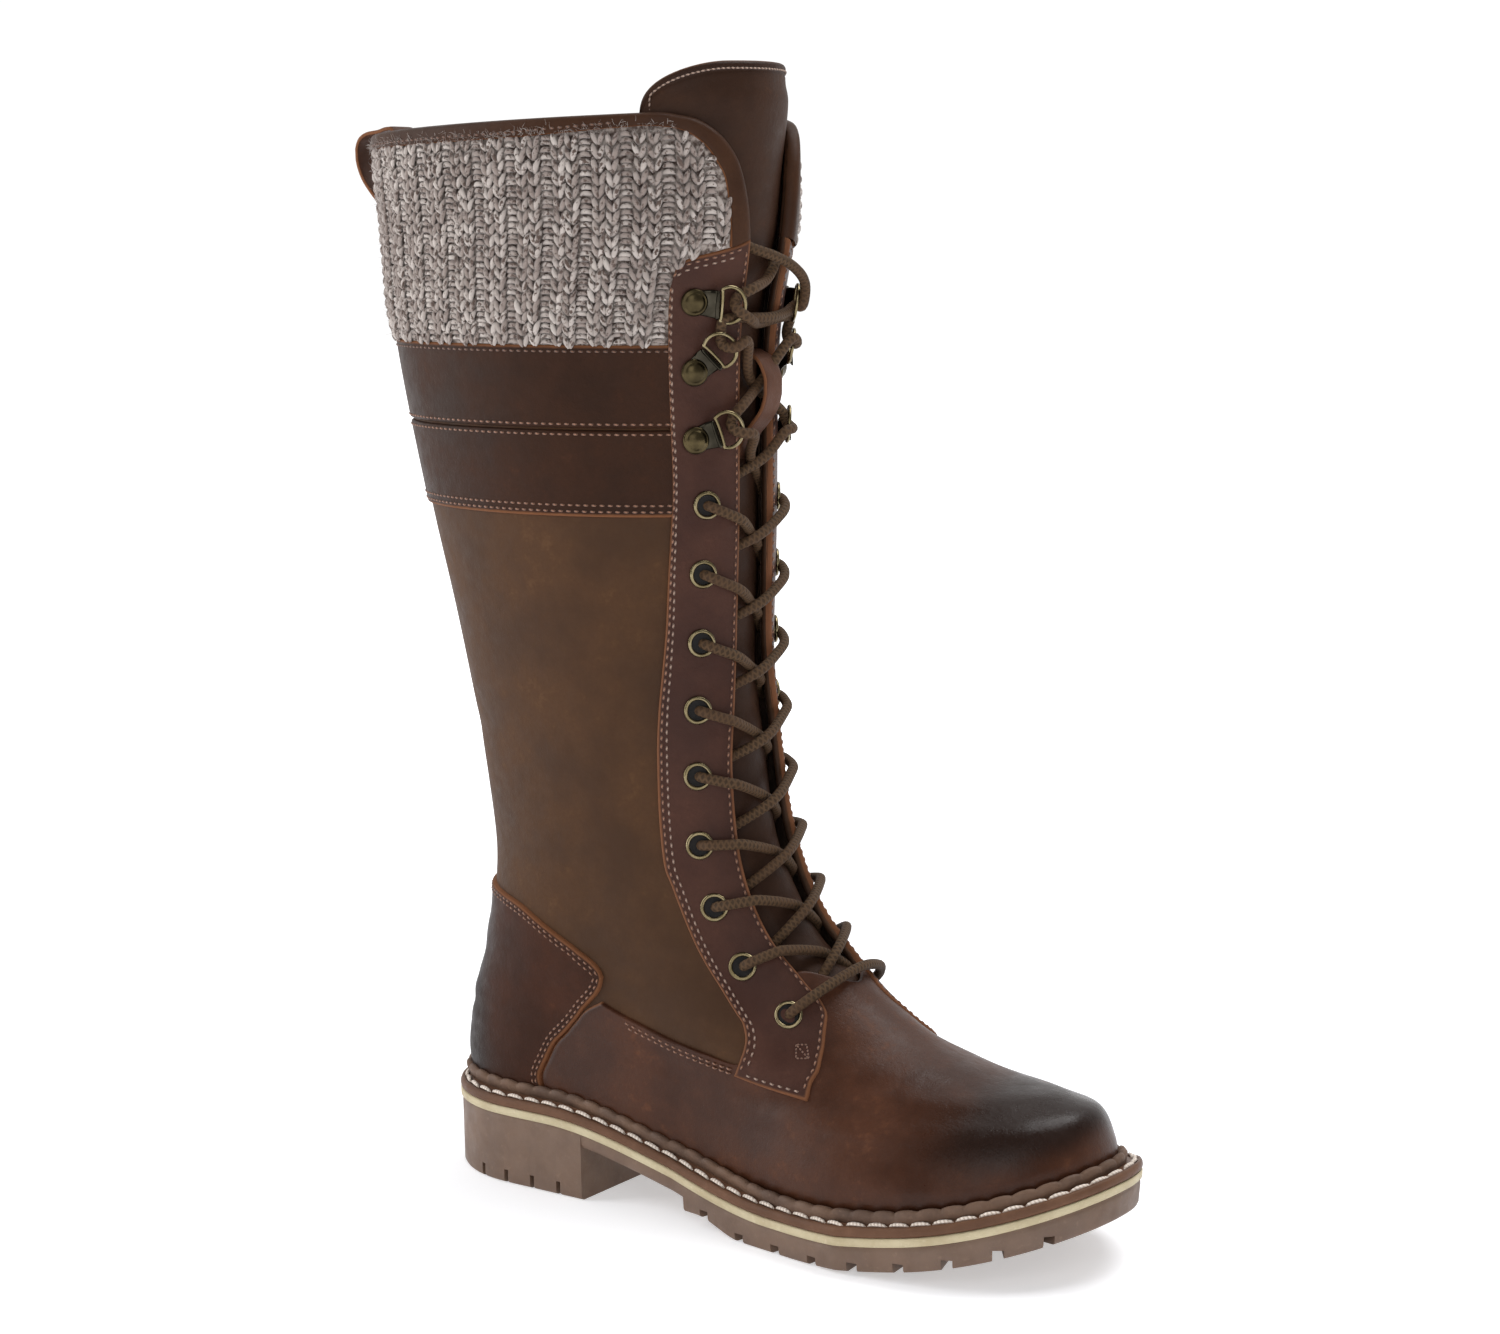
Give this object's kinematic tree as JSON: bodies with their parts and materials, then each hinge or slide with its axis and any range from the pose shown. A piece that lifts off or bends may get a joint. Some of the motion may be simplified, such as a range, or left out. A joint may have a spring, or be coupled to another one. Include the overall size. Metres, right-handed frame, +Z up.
{
  "type": "knee-high boot",
  "caption": "Knee-high lace-up leather boot with a knitted cuff, padded tongue, pull loop, eyelets and ring clips, and a stitched, lugged rubber sole.",
  "frame": {"origin": "on the floor, under the middle of the heel's flat spot", "axes": "+X forward to the toe, +Y to the inner (medial) side of this right boot, +Z up the shaft"},
  "size_m": [0.324, 0.1126, 0.4066],
  "materials": {
    "sole_rubber": "matte, ribbed",
    "midsole": "matte cream layer",
    "welt": "waxed brown, stitched",
    "storm_strip": "matte, scalloped edge",
    "footbed": "plain lining",
    "shaft_leather": "waxed, olive brown, soft creases",
    "overlay_leather": "waxed, red brown, darkened edges",
    "facing_leather": "dark red brown, satin",
    "knit": "marled beige and brown knit",
    "hardware": "aged",
    "lace": "woven round cord"
  },
  "bodies": {
    "root": {"outsole": "sole_rubber", "midsole_stripe": "midsole", "welt": "welt", "storm_strip": "storm_strip", "insole": "footbed", "upper": "shaft_leather", "back_strip": "shaft_leather", "counter": "overlay_leather", "vamp_wing_lateral": "overlay_leather", "vamp_wing_medial": "overlay_leather", "shaft_band_lower": "overlay_leather", "shaft_band_upper": "overlay_leather", "collar_binding": "overlay_leather", "tongue_keeper": "overlay_leather", "pull_loop": "overlay_leather", "eyestay_lateral": "facing_leather", "eyestay_medial": "facing_leather", "tongue": "facing_leather", "knit_cuff": "knit", "eyelet_lateral_1": "hardware", "eyelet_lateral_2": "hardware", "eyelet_lateral_3": "hardware", "eyelet_lateral_4": "hardware", "eyelet_lateral_5": "hardware", "eyelet_lateral_6": "hardware", "eyelet_lateral_7": "hardware", "eyelet_lateral_8": "hardware", "eyelet_lateral_9": "hardware", "eyelet_medial_1": "hardware", "eyelet_medial_2": "hardware", "eyelet_medial_3": "hardware", "eyelet_medial_4": "hardware", "eyelet_medial_5": "hardware", "eyelet_medial_6": "hardware", "eyelet_medial_7": "hardware", "eyelet_medial_8": "hardware", "eyelet_medial_9": "hardware", "lace_clip_lateral_1": "hardware", "lace_clip_lateral_2": "hardware", "lace_clip_lateral_3": "hardware", "lace_clip_medial_1": "hardware", "lace_clip_medial_2": "hardware", "lace_clip_medial_3": "hardware", "lace_ring_lateral_1": "hardware", "lace_ring_lateral_2": "hardware", "lace_ring_lateral_3": "hardware", "lace_ring_medial_1": "hardware", "lace_ring_medial_2": "hardware", "lace_ring_medial_3": "hardware", "lace_crossings": "lace"}
  },
  "joints": []
}
